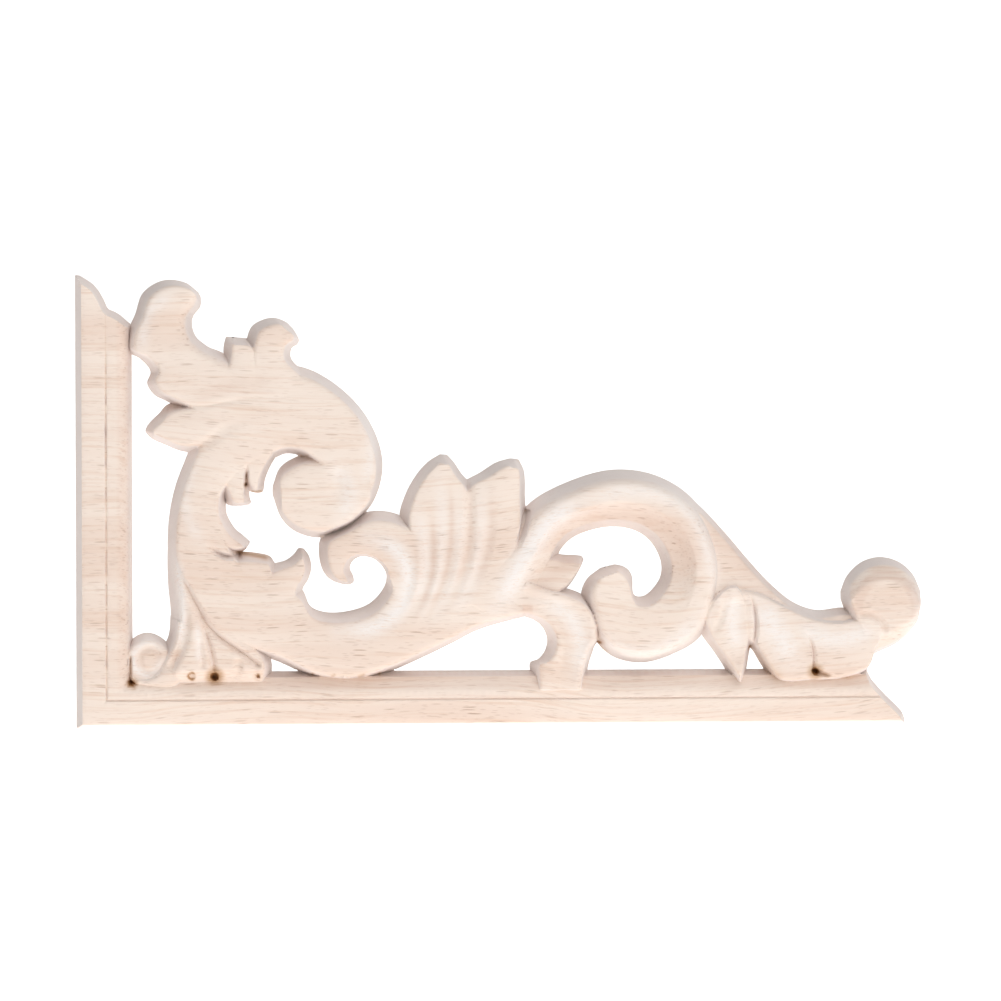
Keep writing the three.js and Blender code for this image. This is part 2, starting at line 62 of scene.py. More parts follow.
# Each carved form lies between a left and a right edge, in mm on the board: one rib
# (left x, left z, right x, right z) for each pair of edge points, from the root to the tip.
# rim is the height of its walls, crown its height inside, given at the root and at the tip,
# and round the width of its sloping border, on the left and on the right: hollow, or straight where
# fall is 1. sunk_root is the length in mm over which a form rises out of those that it grows from,
# and free_root ends in a wall of its own.
FORMS = {
    "great_scroll": dict(sunk_root=6, rim=(7.0, 7.0), crown=(7.4, 7.3), round=(1.0, 0.6), ribs=[
        (84, 20.4, 71, 32), (77.6, 19.0, 62, 34), (71, 17.1, 56, 31.6), (66.2, 14.7, 55, 28),
        (61.4, 12.4, 54.3, 24.8), (55.6, 9.9, 51.4, 21.7), (49, 8.1, 45, 20.3), (42.4, 8.7, 41.4, 21.4),
        (35.4, 11.7, 39.9, 24.4), (26.5, 15, 36.5, 26.8),
        (20.3, 21.5, 31, 29), (16.6, 28.5, 27.8, 33), (16.2, 35, 26.6, 37.6), (17.3, 42, 26.8, 41.5),
        (19.8, 48.8, 31, 46), (22.5, 56, 34.6, 47.4), (29.5, 63, 37, 48.4), (39.5, 63.8, 39.2, 48.1),
        (47, 59.7, 40.3, 47.3), (52, 53.7, 41.2, 46.4), (54.1, 46.5, 42.2, 45.2),
        (52.3, 39.6, 43, 43.6), (47.5, 35, 43.2, 42.6)]),
    "scroll_eye": dict(rim=(6.7, 6.7), crown=(7.2, 7.3), round=(1.4, 1.4), free_root=True, ribs=[
        (34.65, 42.7, 34.65, 41.1), (36, 46, 36.2, 37), (38.9, 47.9, 38.6, 34.7),
        (42.5, 49, 42.7, 33.55), (47, 49, 47, 34.7), (50.5, 48, 50.5, 37.5), (53, 46, 53, 41)]),
    "crest_leaf": dict(rim=(6.0, 5.6), crown=(7.35, 6.5), round=(1.0, 1.9), ribs=[
        (25, 52, 38, 51), (19.3, 56, 34, 59.6), (16.2, 57.6, 29.8, 64.2), (13.8, 58.9, 27.2, 65.6),
        (12.6, 60.9, 25.2, 66.6), (13.2, 62.9, 23.6, 67.2), (11.5, 65.1, 22.3, 68.1), (8.9, 66.7, 21.4, 68.9),
        (9.0, 69.5, 20.7, 70.4), (10.5, 73, 20.6, 72), (11.9, 76.8, 21, 73), (15.5, 79, 21.9, 74.1),
        (19.4, 78.6, 22.2, 75.2), (21.7, 76.9, 22.1, 76.1)]),
    "crest_step": dict(rim=(6.7, 6.7), crown=(7.3, 6.6), round=(0.8, 0.5), ribs=[
        (23.2, 56, 35, 56), (24.6, 62.5, 34.6, 62.5), (25.9, 65.2, 34, 65.4), (26.1, 67.6, 32.4, 67.0),
        (26.5, 69.1, 30.4, 68.8)]),
    "crest_lobe": dict(rim=(6.7, 6.7), crown=(7.35, 6.8), round=(0.9, 1.2), ribs=[
        (28.5, 54.5, 45, 54.5), (29.3, 61.5, 41.6, 61.5), (29.8, 66.8, 38, 65.2), (30.9, 70.7, 38.1, 67),
        (32.6, 71.9, 39.1, 67.7), (34.8, 72.4, 39.4, 68.4), (37, 71.7, 39, 69.4),
        (38.1, 70.7, 38.6, 70.1)]),
    "left_leaf": dict(rim=(6.8, 6.7), crown=(7.3, 6.8), round=(0.5, 0.7), ribs=[
        (32, 61, 33, 49), (20.5, 58.2, 24, 48.6), (16.1, 57.1, 18.8, 48.85), (14.8, 55.7, 15.8, 50),
        (12.9, 53.8, 13.3, 51.2), (12.25, 52.7, 12.35, 52.2)]),
    "slit_leaf": dict(rim=(6.6, 6.6), crown=(7.1, 6.4), round=(0.5, 0.5), ribs=[
        (28, 50, 37.5, 51), (28.6, 46.2, 34.3, 46.2), (29.1, 43.6, 33.3, 43.6),
        (30.2, 42, 33.15, 42.3), (32, 41.4, 32.9, 41.6)]),
    "spur_leaf": dict(rim=(6.6, 6.6), crown=(7.1, 6.4), round=(0.5, 0.5), ribs=[
        (22.5, 47.5, 32, 49), (25.3, 42.2, 31, 44), (26.6, 39.5, 30.6, 42.1), (28.8, 39.2, 30.6, 40.9),
        (30.5, 39.4, 30.95, 39.8)]),
    "sickle_leaf": dict(rim=(6.6, 6.5), crown=(7.2, 6.2), round=(0.9, 0.8), ribs=[
        (19.5, 40, 25.5, 42), (22.2, 34.2, 26.6, 37.8), (24.6, 31.8, 28, 35.3),
        (27.2, 30.9, 29.4, 34.1), (29.6, 31.3, 30.4, 33.2), (30.5, 32.4, 30.7, 32.9)]),
    "blunt_leaf": dict(rim=(6.7, 6.8), crown=(7.2, 6.8), round=(0.5, 0.6), ribs=[
        (25, 20, 23, 30), (30, 21.5, 28.5, 31.1), (34, 23.4, 32, 30.9), (35.7, 26, 34.2, 30.3),
        (35.5, 28, 35, 29.2)]),
    "horn_leaf": dict(rim=(6.8, 6.8), crown=(7.3, 6.7), round=(0.6, 0.5), ribs=[
        (28, 22, 41, 18), (31.8, 27.4, 39.9, 24.2), (34.8, 29.0, 41, 26.3),
        (36.9, 29.6, 41.5, 28.4), (38.3, 30.6, 41, 30.5), (39.2, 31.8, 40.1, 31.7)]),
    "hook_leaf": dict(rim=(6.9, 6.8), crown=(7.35, 6.8), round=(0.7, 0.5), ribs=[
        (62, 35, 60, 20), (58.4, 37, 56, 22), (54.6, 38.2, 55, 25.2), (51, 38, 54.5, 27.6),
        (46.5, 35.6, 52.8, 29.6), (43.2, 33.6, 50.4, 30.2), (42.8, 30.8, 48.8, 29.4),
        (43.5, 27.7, 48.3, 28.1), (44.9, 26.1, 48.8, 27), (47, 25.3, 49, 26), (48.3, 25.2, 48.9, 25.6)]),
    "near_fan_leaf": dict(rim=(7.0, 7.0), crown=(7.45, 7.0), round=(0.5, 0.6), ribs=[
        (60, 24, 73, 20), (58, 31.5, 73.5, 30), (57, 37.2, 72.5, 38), (58.1, 41.2, 69.8, 42.8),
        (60, 44.6, 68, 44.9), (62.2, 47, 66.8, 46.7), (64.2, 48.25, 65.5, 48.15)]),
    "far_fan_leaf": dict(rim=(7.0, 7.0), crown=(7.4, 6.9), round=(0.5, 0.5), ribs=[
        (60, 20, 78, 22), (63, 30, 79, 31), (65.5, 38, 79.4, 37), (68, 43, 79.3, 41),
        (71.3, 45, 79.3, 43.2), (74.2, 46.8, 79.1, 45.3), (76.6, 47.5, 78.2, 47.3)]),
    "open_scroll": dict(rim=(5.6, 6.2), crown=(7.4, 7.2), round=(1.7, 0.5), ribs=[
        (64, 25, 74, 18.8), (69, 28, 79, 20.5), (75, 32.6, 83.5, 27), (79.3, 38.8, 86, 31.8),
        (83.5, 41.8, 88.5, 33.8), (94, 45.35, 94.3, 35.3), (102.5, 44.4, 98.8, 34.6),
        (109.5, 39.8, 101.6, 32.6), (113.6, 32, 103.4, 29), (114, 25, 103.2, 26.2),
        (110.6, 15.9, 101, 23.4), (105.5, 12.6, 99.7, 22.9), (100, 11.15, 98.7, 23.2),
        (95, 12.2, 98.4, 24.2), (91.9, 15, 98.4, 25.3), (90.1, 19.5, 98.3, 26.5),
        (89.2, 23.3, 97.7, 27.6), (90.2, 26, 96.7, 28.3), (92.6, 28, 95.2, 28.65)]),
    "thorn_leaf": dict(rim=(5.6, 5.5), crown=(5.9, 5.5), round=(0.6, 0.6), ribs=[
        (80, 29, 80, 21), (83, 30.9, 84.5, 22.8), (86, 30.4, 86.7, 24.4), (88.4, 30.3, 88.8, 27.4),
        (89.4, 30.15, 89.75, 29.5)]),
    "small_curl": dict(rim=(6.0, 6.2), crown=(6.4, 7.0), round=(0.8, 0.5), ribs=[
        (80.3, 6.5, 90, 6.5), (80.2, 9.4, 90.4, 10), (80.2, 11.3, 90.8, 11.6), (81.6, 11.9, 91.2, 12.8),
        (82.8, 13.4, 91.7, 14.2), (83.2, 15.4, 92.8, 16), (82.3, 17.6, 92.3, 19.8), (80.6, 18.9, 90, 23),
        (77, 19.8, 83.4, 25.6), (73, 20, 79, 28)]),
    "tail": dict(rim=(5.3, 5.3), crown=(5.5, 5.3), round=(0.9, 1.0), ribs=[
        (106, 42.5, 102, 36), (110.5, 38.8, 107, 30), (115, 34, 109, 24), (119, 29.3, 111.4, 18.4),
        (123, 25, 119.5, 14), (127, 21.8, 124, 11), (131, 20.4, 130, 8), (135.5, 20.8, 137, 8),
        (139, 20.5, 140.2, 11.5), (141.7, 19.4, 141.5, 14.5), (142.4, 18.2, 142.3, 16.8)]),
    "tail_body": dict(rim=(6.2, 6.3), crown=(6.4, 7.15), round=(0.5, 0.6), ribs=[
        (109.5, 22.4, 110, 18.4), (112.8, 24.2, 112, 16.8), (116.6, 25.5, 115, 15.4),
        (120.4, 24.9, 119.2, 13.8), (124.4, 23, 121.2, 10.8), (128.2, 21.2, 123.8, 7.4),
        (131.6, 20.1, 130, 7.3), (135, 19.9, 135.2, 7.6), (138.4, 20.5, 139.9, 9.4),
        (141.2, 20.3, 141, 12.6), (142.6, 19, 141.9, 15), (143, 17.8, 142.7, 16.6)]),
    "stem_patch": dict(rim=(6.6, 6.6), crown=(7.0, 6.6), round=(0.4, 0.4), ribs=[
        (70, 19, 72, 24), (76, 19.9, 77, 25), (79.6, 19.6, 80.6, 24.6), (82.4, 20.2, 83.4, 23.4),
        (84, 20.8, 84.4, 22.4)]),
    "tail_ball": dict(rim=(5.2, 5.2), crown=(7.1, 7.1), round=(2.6, 2.6), fall=1, free_root=True,
        ribs=[(135.4, 23.7, 135.45, 22.2), (136.6, 26.5, 137, 18), (139.2, 28.9, 139.9, 12.2),
        (142.4, 29.75, 142.5, 13), (145.8, 28.9, 145.5, 14.4), (148.4, 26.6, 147.7, 16.4),
        (149.6, 23.6, 149.3, 19.2), (149.9, 21.9, 149.85, 21)]),
    "hanging_leaflet": dict(rim=(6.8, 6.8), crown=(7.0, 6.9), round=(0.4, 0.4), free_root=True,
        ribs=[(115.6, 26.2, 116.6, 26.2), (111.8, 23.6, 118.7, 23.4), (109.6, 19.6, 119.6, 20),
        (110.6, 16.2, 119.8, 16.6), (112.6, 13.4, 119.2, 13), (114.7, 10.2, 118.7, 10),
        (116.4, 7, 118.1, 7)]),
    "corner_leaf": dict(rim=(4.9, 6.0), crown=(6.9, 6.8), round=(2.2, 0.7), ribs=[
        (14, 8.0, 34.3, 8.0), (15.6, 12, 34.3, 12.2), (16.6, 16.8, 29.9, 17.5), (16.65, 20.5, 26, 21.5),
        (16.2, 25.5, 22.4, 26), (16.1, 30, 19.4, 30.5), (16.2, 33.6, 17.4, 33.6)]),
    "small_volute": dict(rim=(4.0, 4.0), crown=(4.8, 4.8), round=(0.7, 0.7), free_root=True,
        ribs=[(16.9, 13.4, 16.9, 10.4), (16.0, 15.1, 16.3, 8.6), (14.4, 16.4, 14.7, 7.5),
        (12.4, 16.9, 12.4, 7.2), (10.4, 16.2, 10.3, 7.7), (8.9, 14.4, 8.9, 9.4), (8.3, 12.6, 8.3, 11.4)]),
    "volute_band": dict(rim=(4.8, 4.8), crown=(6.4, 4.9), round=(0.8, 0.8), ribs=[
        (16.6, 20, 20.5, 19), (16.3, 16.6, 20.6, 15), (15.2, 14, 20.4, 10.4), (13.6, 11, 18.4, 7.2),
        (12.3, 10, 13, 6.8), (10.9, 10.2, 9.4, 7.6), (10.4, 11.6, 8.4, 10.4)]),
}

# V cuts and flutes: points in mm on the board, half width, depth, and how much of the length at
# the start and at the end the cutter takes to sink and to lift. power 1 is a V, 2 a hollow.
CUTS = [
    dict(path=[(18.6, 57.2), (22, 57.1), (26, 57.7), (30, 58.3), (35, 58.6), (39, 59)],
         half=0.7, depth=0.3, ease=(0.02, 0.8), power=1),
    dict(path=[(20.2, 49.2), (23.5, 51), (27, 53.5), (31, 55.5)], half=1.5, depth=0.45,
         ease=(0.05, 0.8), power=2),
    dict(path=[(29.8, 41.4), (29.85, 43.4), (29.95, 46.6)], half=0.38, depth=1.5, ease=(0.01, 0.35),
         power=1),
    dict(path=[(26.4, 39.9), (26.2, 41.2), (25.6, 42.6)], half=0.6, depth=0.8, ease=(0.05, 0.6), power=1),
    dict(path=[(22.6, 33.2), (24.4, 31.6), (26.4, 30.7), (29.0, 30.8)], half=0.7, depth=1.8,
         ease=(0.6, 0.02), power=1),
    dict(path=[(38.8, 48.2), (40.4, 47.7), (42.4, 47.1), (44.4, 46.2)], half=0.9, depth=1.2,
         ease=(0.02, 0.8), power=1),
    dict(path=[(44.6, 46.6), (45.9, 44.4), (45.9, 41.6), (44.4, 39.2)], half=2.6, depth=0.4,
         ease=(0.3, 0.5), power=2),
    dict(path=[(42.9, 33.6), (44.6, 34.3), (47, 35.6), (49.4, 36.9)], half=0.9, depth=1.7,
         ease=(0.03, 0.6), power=1),
    dict(path=[(17.0, 31), (17.9, 28), (19.6, 25), (21.2, 22), (22.8, 19.0), (24.7, 16.9), (27.2, 15.0),
               (29.8, 13.2), (32.6, 10.9)], half=0.8, depth=1.1, ease=(0.3, 0.05), power=1),
    dict(path=[(22.1, 19.4), (22.7, 17.4), (23.3, 15.4), (24, 12.5), (24.3, 10)], half=0.7, depth=0.9,
         ease=(0.3, 0.1), power=1),
    dict(path=[(18.9, 24.5), (19.4, 20.5), (19.2, 16.5), (18.0, 13.4), (16.4, 11.2), (14, 9.9)], half=1.1,
         depth=0.8, ease=(0.4, 0.3), power=2),
    dict(path=[(21.5, 16.5), (21.9, 13.5), (22.2, 10.8)], half=0.8, depth=0.5, ease=(0.3, 0.1), power=2),
    dict(path=[(28.6, 13.2), (28.4, 11), (27.6, 9)], half=1.2, depth=0.5, ease=(0.3, 0.1), power=2),
    dict(path=[(69.0, 43.2), (69.1, 38), (68.9, 33), (67.7, 27), (64.2, 21), (60, 17.8)], half=1.5,
         depth=0.55, ease=(0.02, 0.7), power=2),
    dict(path=[(61.4, 39), (61.9, 34), (61.8, 28), (60.2, 22.5), (56, 17.6)], half=1.9, depth=0.42,
         ease=(0.35, 0.4), power=2),
    dict(path=[(57.6, 35), (58.6, 30.5), (58.5, 26), (56.8, 21.6), (53.6, 18.8)], half=1.6, depth=0.32,
         ease=(0.35, 0.45), power=2),
    dict(path=[(64.9, 40), (65.5, 34), (64.8, 27), (62.4, 21), (58.4, 16.9)], half=1.8, depth=0.34,
         ease=(0.35, 0.45), power=2),
    dict(path=[(72.5, 41), (72.6, 35), (71, 28.5), (67.6, 21.5)], half=1.5, depth=0.4,
         ease=(0.35, 0.5), power=2),
    dict(path=[(79.6, 38.6), (79.0, 36.4), (78.1, 33.8), (76.8, 31)], half=0.7, depth=2.6,
         ease=(0.01, 0.75), power=1),
    dict(path=[(114.4, 25.4), (114.3, 22.4), (113.4, 19.4), (111.8, 16.2)],
         half=1.0, depth=0.4, ease=(0.5, 0.3), power=2),
    dict(path=[(117.8, 24.6), (119.1, 22.4), (119.7, 19.6), (119.7, 16.8), (119.3, 14)], half=0.5,
         depth=1.1, ease=(0.5, 0.02), power=1),
    dict(path=[(127.9, 17.6), (129.2, 15.8), (129.9, 13.6), (130, 11.4), (129.9, 9.8)], half=0.5,
         depth=0.8, ease=(0.6, 0.02), power=1),
    dict(path=[(130.4, 9.9), (132, 9.4), (135, 8.8)], half=0.7, depth=1.3, ease=(0.01, 0.9), power=2),
    dict(path=[(137.6, 20.2), (140.2, 19.9), (141.8, 19), (142.5, 17.4), (142, 15.8), (141.2, 14.8)],
         half=0.9, depth=0.7, ease=(0.2, 0.5), power=2),
    dict(path=[(9.6, 8.2), (9.5, 11), (9.6, 13.6)], half=0.4, depth=1.0, ease=(0.1, 0.2), power=1),
    dict(path=[(15.9, 12.6), (15.1, 10.9), (13.4, 10.1), (11.7, 10.7), (11.1, 12.4), (11.7, 14),
               (13.2, 14.4), (14.2, 13.4), (13.9, 12.2), (12.9, 12.1)], half=0.9, depth=0.45,
         ease=(0.1, 0.2), power=2),
    dict(path=[(80.4, 22.4), (82.6, 21), (84.6, 18.4), (85.6, 15), (85.4, 11.4), (84.4, 8.6)], half=1.6,
         depth=0.35, ease=(0.3, 0.3), power=2),
    dict(path=[(116.2, 23.6), (116.3, 20), (116.6, 16.6), (117.2, 13), (117.5, 10.4)], half=3.0,
         depth=0.55, ease=(0.15, 0.2), power=2),
]

# Drilled pits at the ends of the slots: x, z, radius and depth in mm, and how far the drill burnt it.
PITS = [
    (20.3, 9.6, 0.7, 0.7, 0.14), (24.3, 9.5, 0.85, 1.8, 0.68), (31.9, 9.6, 0.5, 0.8, 0.36),
    (9.8, 8.3, 0.55, 1.4, 0.6), (130.3, 9.9, 0.75, 1.7, 0.62), (119.2, 13.8, 0.35, 1.2, 0.35),
    (92.3, 14.9, 0.45, 1.6, 0.4), (29.8, 43.2, 0.35, 1.2, 0.36), (40.6, 48.2, 0.35, 0.8, 0.2),
]


def spline(points, steps):
    """Smooth line through the points, with the given steps from each to the next."""
    p = np.asarray(points, float)
    p = np.vstack([2 * p[0] - p[1], p, 2 * p[-1] - p[-2]])
    out = []
    for i in range(1, len(p) - 2):
        a, b, c, d = p[i - 1:i + 3]
        k0, k1, k2 = (max(1e-4, np.linalg.norm(v) ** 0.5) for v in (b - a, c - b, d - c))
        m1 = ((b - a) / k0 - (c - a) / (k0 + k1) + (c - b) / k1) * k1
        m2 = ((c - b) / k1 - (d - b) / (k1 + k2) + (d - c) / k2) * k1
        w = np.linspace(0, 1, steps + 1)[:, None]
        span = b + m1 * w + (-3 * b + 3 * c - 2 * m1 - m2) * w ** 2 + (2 * b - 2 * c + m1 + m2) * w ** 3
        out.append(span if i == len(p) - 3 else span[:-1])
    return np.vstack(out)


def smooth(x, low, high):
    """Soft step from 0 at low to 1 at high."""
    t = np.clip((x - low) / (high - low), 0, 1)
    return t * t * (3 - 2 * t)


def cove_of_open_scroll(rib, t, left, right):
    """Hollow between the ridge along the band and its inner edge."""
    along = smooth(rib, 0.6, 3.0) * (1 - smooth(rib, 8.6, 10.2))
    ridge = 0.56 - 0.1 * smooth(rib, 6, 8)
    q = np.clip((t - ridge) / (1 - ridge), 0, 1)
    return -2.5 * along * (1 - (1 - q) ** 2)


def raised_lip(rib, t, left, right):
    """Narrow lip inside the right edge, with a shallow hollow beside it."""
    return 0.2 * np.exp(-((right - 1.0) / 0.7) ** 2) - 0.3 * np.exp(-((right - 3.4) / 1.8) ** 2)


SHAPES = {
    "open_scroll": cove_of_open_scroll,
    "small_curl": raised_lip,
    "thorn_leaf": lambda rib, t, left, right: 0.7 * (t - 0.7),
    "corner_leaf": lambda rib, t, left, right: (
        0.3 * np.sin(t * 9.0) * (1 - smooth(rib, 2.5, 4)) - 2.1 * (1 - smooth(rib, 0, 0.75))),
}


def loft(form, shape, along=10, across=26):
    """Net of points (x, height, z) over one form, and the quads between them."""
    ribs = np.array(form["ribs"], float)
    left, right = spline(ribs[:, :2], along), spline(ribs[:, 2:], along)
    count = len(left)
    rib = np.linspace(0, len(ribs) - 1, count)
    share = np.linspace(0, 1, count)
    width = np.maximum(1e-6, np.linalg.norm(right - left, axis=1))
    middle = (left + right) / 2
    steps = np.linalg.norm(np.diff(middle, axis=0), axis=1)
    from_root = np.concatenate([[0], np.cumsum(steps)])
    rim_left, rim_right = form["rim"]
    crown = form["crown"][0] + (form["crown"][1] - form["crown"][0]) * share
    run = LEAN * (rim_left + rim_right)
    full = np.minimum(1, 2 * BORDER * width / run)
    full = np.minimum(full, (from_root[-1] - from_root) / (LEAN * max(form["rim"])))
    if form.get("free_root"):
        full = np.minimum(full, from_root / (LEAN * max(form["rim"])))
    full = np.maximum(full, 0.02)
    inset = (np.minimum(LEAN * rim_left, BORDER * width),
             np.minimum(LEAN * rim_right, BORDER * width))
    t = 0.5 - 0.5 * np.cos(np.pi * np.linspace(0, 1, across))
    top = np.maximum(0, width - inset[0] - inset[1])[:, None]
    d_left, d_right = top * t, top * (1 - t)
    fall = form.get("fall", 2)
    height = crown[:, None] * np.ones_like(t)
    for d, rim, round_width in ((d_left, rim_left, form["round"][0]), (d_right, rim_right, form["round"][1])):
        height = height - (crown[:, None] - rim) * np.maximum(0, 1 - d / round_width) ** fall
        height = height - ARRIS_DROP * np.maximum(0, 1 - d / ARRIS) ** 2
    height = height - DOME * np.minimum(1, width[:, None] / DOME_WIDTH) * (2 * t - 1) ** 2
    if shape:
        height = height + shape(rib[:, None], t, d_left, d_right)
    height = height - BURIED * (1 - smooth(from_root, 0, form.get("sunk_root", 1e-3)))[:, None]
    height = np.maximum(0.3, height) * full[:, None]
    place = (inset[0][:, None] + d_left) / width[:, None]
    x = left[:, :1] + (right[:, :1] - left[:, :1]) * place
    z = left[:, 1:] + (right[:, 1:] - left[:, 1:]) * place
    net = np.zeros((count, across + 2, 3))
    net[:, 0, 0], net[:, 0, 2] = left[:, 0], left[:, 1]
    net[:, -1, 0], net[:, -1, 2] = right[:, 0], right[:, 1]
    net[:, 1:-1, 0], net[:, 1:-1, 1], net[:, 1:-1, 2] = x, height, z
    row = across + 2
    quads, zones = [], []
    for s in range(count - 1):
        for k in range(row - 1):
            a = s * row + k
            quads.append((a, a + 1, a + row + 1, a + row))
            zones.append(0 if k == 0 else 2 if k == row - 2 else 1)
    return net.reshape(-1, 3), quads, zones


# All forms in one search tree, in which a ray from the front finds the highest wood. Each wall,
# top, torn foot, strip of a moulding and sawn end has a label of its own.
LABELS_PER_FORM = 3
FIRST_FORM = 10
TORN = 99
UPRIGHT_STRIP = 100
LYING_STRIP = 120
SAWN_END = 150
points, polygons, labels = [], [], []
for number, (name, form) in enumerate(FORMS.items()):
    net, quads, zones = loft(form, SHAPES.get(name))
    start = len(points)
    points.extend(Vector(p) for p in net.tolist())
    polygons.extend(tuple(start + i for i in quad) for quad in quads)
    labels.extend(FIRST_FORM + LABELS_PER_FORM * number + zone for zone in zones)
carved = BVHTree.FromPolygons(points, polygons)
STRAIGHT_BACK = Vector((0, -1, 0))

# The foot of the great scroll is broken off along the lying moulding: its middle and half its
# length along the board, the height on the board where it breaks, and the height of wood left
TORN_MIDDLE = 47.5
TORN_HALF = 11.5
TORN_EDGE = 9.35
TORN_HEIGHT = 5.5

# Section of the mouldings, in mm: a flat top with a groove, and a bevel down to a low inner edge
BAR = 9.95  # width at the back
BAR_TOP = 5.6
BAR_LIP = 4.1  # height of the inner edge
GROOVE_START = 5.05
GROOVE_MIDDLE = 5.32
GROOVE_END = 5.6
GROOVE_FLOOR = 4.9
BEVEL_START = 6.85
INNER_WALL = BAR - LEAN * BAR_LIP
MOULDING = np.array([
    (0, 0), (LEAN * 5.45, 5.45), (LEAN * BAR_TOP + 0.2, BAR_TOP), (GROOVE_START, BAR_TOP),
    (5.28, GROOVE_FLOOR), (5.36, GROOVE_FLOOR), (GROOVE_END, BAR_TOP), (6.7, BAR_TOP), (7.0, 5.5),
    (INNER_WALL, BAR_LIP), (BAR, 0)])
UPRIGHT_STEP = 0.7  # mm that the bevel of the upright moulding starts further in
UPRIGHT_END = np.array([
    (-3, 81.2), (0, 80), (0.9, 79.85), (2, 79.2), (3.3, 78.3), (4.2, 77.2), (5, 75.8), (5.6, 74.4),
    (6, 73.9), (7, 73.5), (8, 72.9), (9, 72), (9.7, 71.4), (12, 69.6)])
LYING_END = np.array([
    (147, -3), (147, 0), (147, 0.9), (146.5, 2.2), (145.3, 3.5), (143.7, 5), (142.3, 6.5), (141, 8),
    (140.3, 9.4), (140, 11), (139.9, 13)])


def distance_to(path, x, z):
    """Distance to a line of points, and the share of its length where the nearest point lies."""
    a, b = path[:-1], path[1:]
    lengths = np.linalg.norm(b - a, axis=1)
    before = np.concatenate([[0], np.cumsum(lengths)])
    best, where = np.full(x.shape, 1e9), np.zeros(x.shape)
    for (ax, az), (bx, bz), length, start in zip(a, b, lengths, before):
        dx, dz = bx - ax, bz - az
        t = np.clip(((x - ax) * dx + (z - az) * dz) / max(1e-9, dx * dx + dz * dz), 0, 1)
        d = np.hypot(x - ax - t * dx, z - az - t * dz)
        nearer = d < best
        best = np.where(nearer, d, best)
        where = np.where(nearer, (start + t * length) / before[-1], where)
    return best, where


def moulding(x, z):
    """Height of the two mouldings, mitred on the diagonal, and a label for each strip of them."""
    across = np.minimum(x, z)
    late = np.where(x < z, UPRIGHT_STEP, 0) * smooth(across, 5.7, 7.2) * (1 - smooth(across, 8.6, 9.6))
    height = np.interp(across - late, MOULDING[:, 0], MOULDING[:, 1], left=-1, right=-1)
    # The groove is cut to a changing depth in the upright moulding and is shallow in the lying one
    faint = 0.42 + 0.3 * np.sin(z * 1.7) * np.sin(z * 0.61 + 1) + 0.35 * np.exp(-((z - 52) / 3.5) ** 2)
    faint = np.where(x < z, np.clip(faint, 0.15, 0.9) * (1 - 0.8 * smooth(z, 60, 72)), 0.55)
    in_groove = (across - late > GROOVE_START) & (across - late < GROOVE_END)
    height = np.where(in_groove, BAR_TOP - (BAR_TOP - height) * faint, height)
    strip = np.searchsorted([LEAN * BAR_TOP, GROOVE_START, GROOVE_MIDDLE, GROOVE_END, BEVEL_START,
                             INNER_WALL], across - late)
    strip = strip + np.where(x < z, UPRIGHT_STRIP, LYING_STRIP)
    end_up, _ = distance_to(UPRIGHT_END, x, z)
    over = np.interp(x, UPRIGHT_END[:, 0], UPRIGHT_END[:, 1]) < z
    end_up = np.where(over, -end_up, end_up) / LEAN
    end_lying, _ = distance_to(LYING_END, x, z)
    over = np.interp(z, LYING_END[:, 1], LYING_END[:, 0]) < x
    end_lying = np.where(over, -end_lying, end_lying) / LEAN
    end = np.where(x < z, end_up, end_lying)
    strip = np.where(end < height, SAWN_END, strip)
    return np.minimum(height, end), strip


def surface(x, z):
    """Height before the V cuts and a label that changes at every edge, for arrays of places."""
    height, label = moulding(x, z)
    label = np.where(height > 0, label, 0)
    height = np.maximum(height, 0)
    cast = carved.ray_cast
    ragged = TORN_EDGE + 0.06 * np.sin(x * 5.3) + 0.04 * np.sin(x * 11.9 + 1)
    torn_off = (np.abs(x - TORN_MIDDLE) < TORN_HALF) & (z < ragged) & (label > 0)
    for i, (px, pz) in enumerate(zip(x.tolist(), z.tolist())):
        hit = cast(Vector((px, 20, pz)), STRAIGHT_BACK)
        if hit[0] is None or hit[0].y < height[i]:
            continue
        if torn_off[i]:
            height[i] = max(height[i], min(hit[0].y, TORN_HEIGHT))
            label[i] = TORN
        else:
            height[i] = hit[0].y
            label[i] = labels[hit[2]]
    return height, label


# Points on a square net, and points where its lines cross an edge of the carving
CELL = 0.27  # mm between the points
CROWD = 0.36  # of a cell: net points nearer than this to an edge point are left out
HALVINGS = 7  # of a cell's side, to find the edge on it
CUT_STEP = 0.3  # mm between points along a V cut
PLAIN_STEP = (5, 2)  # net points kept along and across a plain strip: one in 5 and one in 2
xs = np.arange(-0.6, 151, CELL)
zs = np.arange(-0.6, 81, CELL)
net_x, net_z = np.meshgrid(xs, zs)
net_height, net_label = surface(net_x.ravel(), net_z.ravel())
net_height, net_label = net_height.reshape(net_x.shape), net_label.reshape(net_x.shape)

crossings = []
crossing_cells = {}


def find_crossings(along_x):
    """Adds the places where a line of the net goes from one label to another."""
    a = net_label[:, :-1] if along_x else net_label[:-1, :]
    b = net_label[:, 1:] if along_x else net_label[1:, :]
    rows, cols = np.nonzero(a != b)
    low = np.stack([xs[cols], zs[rows]], 1)
    high = low + (np.array([CELL, 0]) if along_x else np.array([0, CELL]))
    label_low = a[rows, cols]
    for _ in range(HALVINGS):
        mid = (low + high) / 2
        _, label_mid = surface(mid[:, 0], mid[:, 1])
        same = (label_mid == label_low)[:, None]
        low, high = np.where(same, mid, low), np.where(same, high, mid)
    outline = (a[rows, cols] == 0) | (b[rows, cols] == 0)
    for row, col, place, is_outline in zip(rows, cols, (low + high) / 2, outline):
        index = len(crossings)
        crossings.append((place[0], place[1], is_outline))
        cells = [(row, col), (row - 1, col)] if along_x else [(row, col), (row, col - 1)]
        for cell in cells:
            crossing_cells.setdefault(cell, []).append(index)


